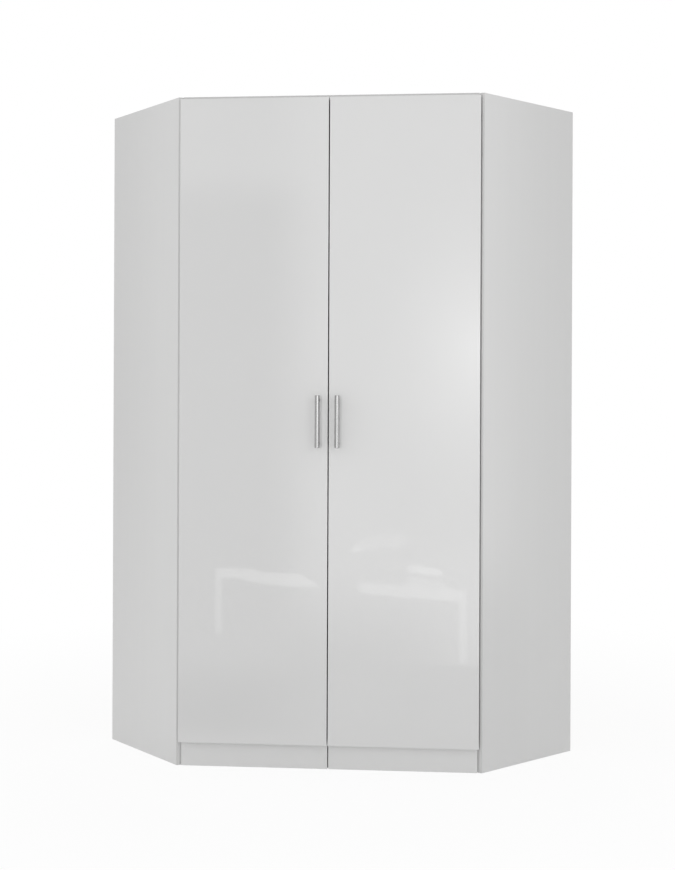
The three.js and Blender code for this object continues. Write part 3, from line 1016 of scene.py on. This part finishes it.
def upright_corners(left, right, low, high, depth):
    return [(left, depth, low), (left, depth, high), (right, depth, high), (right, depth, low)]


def lamp_glow(name, pixel, pixel_reach, strength, stretch, camera):
    """Round lamp that glows about a pixel of the doors, stretched upright."""
    centre = mirrored(pixel, camera, GLOW_Y)
    reach = mirrored((pixel[0] + pixel_reach, pixel[1]), camera, GLOW_Y).x - centre.x
    corners = upright_corners(-reach, reach, -reach, reach, 0.0)
    glow = card(name, corners, round_glow(name, strength, reach))
    glow.location = centre
    glow.scale = (1.0, 1.0, stretch)


def window_glow(camera):
    """Pale window that fills the right door and fades out on the left one and near the floor."""
    left, right, low, high = mirrored_span(WINDOW_PIXELS, camera, WINDOW_Y)
    (x0, y0), (x1, y1) = WINDOW_PIXELS
    full_x = mirrored((x0 + WINDOW_LEFT_FADE, y0), camera, WINDOW_Y).x
    full_z = mirrored((x1, y1 - WINDOW_LOW_FADE), camera, WINDOW_Y).z
    fades = (("X", left, full_x), ("Z", low, full_z))
    corners = upright_corners(left, right, low, high, WINDOW_Y)
    card("window_glow", corners, soft_edged_glow("window_glow", WINDOW_LIGHT, fades))


def band_glow(camera):
    """Pale band across the top of the left door."""
    left, right, low, high = mirrored_span(BAND_PIXELS, camera, BAND_Y)
    y0 = BAND_PIXELS[0][1]
    x1, y1 = BAND_PIXELS[1]
    full_x = mirrored((x1 - BAND_SIDE_FADE, y0), camera, BAND_Y).x
    full_z = mirrored((x1, y1 - BAND_LOW_FADE), camera, BAND_Y).z
    fades = (("X", right, full_x), ("Z", low, full_z))
    corners = upright_corners(left, right, low, high, BAND_Y)
    card("band_glow", corners, soft_edged_glow("band_glow", BAND_LIGHT, fades))


def bench_glow(camera):
    """Pale bench in front of the doors, seen in both, and the throw that lies on it."""
    for name, (strength, pixels) in BENCH_SHAPES.items():
        corners = [mirrored(pixel, camera, BENCH_Y) for pixel in pixels]
        card(name, corners, adding_glow(name, strength)[0])


def mat_shade(camera):
    """Darker mat on the floor, mirrored in the foot of the left door."""
    def place(x, y):
        return mirrored_low((x, y), camera, MAT_HEIGHT)

    (x0, y0), (x1, y1) = MAT_PIXELS
    middle = (y0 + y1) / 2.0
    left = place(x0, y0).x
    right = place(x1, middle).x
    far = place(x0, y0).y
    near = place(x0, y1).y
    fades = (
        ("X", right, place(x1 - MAT_SIDE_FADE, middle).x),
        ("Y", far, place(x0, y0 + MAT_FAR_FADE).y),
        ("Y", near, place(x0, y1 - MAT_NEAR_FADE).y),
    )
    outline = ((left, far), (left, near), (right, near), (right, far))
    corners = [(x, y, MAT_HEIGHT) for x, y in outline]
    card("mat_shade", corners, soft_edged_shade("mat_shade", MAT_SHADE_SHARE, fades))


def side_cards(cards, make_material, camera):
    """Upright cards beside the side panels, which only the sheen of the panels mirrors."""
    for name, (side, gap, strength, (x_none, x_full), (y_none, y_full)) in cards.items():
        none = mirrored_beside((x_none, y_none), camera, side, gap)
        full = mirrored_beside((x_full, y_full), camera, side, gap)
        onward = Vector((full.x - none.x, full.y - none.y, 0.0)).normalized()
        end = full + onward * SIDE_CARD_RUN
        outline = ((none, 0.0), (none, SIDE_CARD_TOP), (end, SIDE_CARD_TOP), (end, 0.0))
        corners = [(foot.x, foot.y, height) for foot, height in outline]
        fades = (("X", none.x, full.x), ("Z", none.z, full.z))
        card(name, corners, make_material(name, strength, fades))


def photo_camera():
    """Camera of the photograph, level but for its slight roll."""
    data = bpy.data.cameras.new("photo_camera")
    data.sensor_width = SENSOR
    data.lens = FOCAL_PIXELS / PHOTO_HEIGHT * SENSOR
    data.shift_x = (PHOTO_WIDTH / 2.0 - PRINCIPAL_PIXEL[0]) / PHOTO_HEIGHT
    data.shift_y = (PRINCIPAL_PIXEL[1] - PHOTO_HEIGHT / 2.0) / PHOTO_HEIGHT
    camera = linked("photo_camera", data)
    level = Matrix.Rotation(math.pi / 2.0, 4, "X")
    turn = Matrix.Rotation(CAMERA_YAW, 4, "Z") @ level @ Matrix.Rotation(CAMERA_ROLL, 4, "Z")
    camera.matrix_world = Matrix.Translation(CAMERA_PLACE) @ turn
    bpy.context.scene.camera = camera
    return camera


dress_carcass()
dress_doors()
smooth_round_nodes()
hinge_screws()
handle_screws()
bracket_screws()
door_pads()
cover_caps()
nail_heads()
studio_floor()
studio_world()
studio_lights()
camera = photo_camera()
bpy.context.view_layer.update()
lamp_glow("softbox_glow", GLOW_PIXEL, GLOW_REACH, GLOW_LIGHT, GLOW_STRETCH, camera)
lamp_glow("low_glow", LOW_GLOW_PIXEL, LOW_GLOW_REACH, LOW_GLOW_LIGHT, LOW_GLOW_STRETCH, camera)
window_glow(camera)
band_glow(camera)
bench_glow(camera)
mat_shade(camera)
side_cards(SIDE_REFLECTORS, soft_edged_glow, camera)
side_cards(SIDE_FLAGS, soft_edged_shade, camera)
bpy.context.scene.view_settings.view_transform = "Standard"
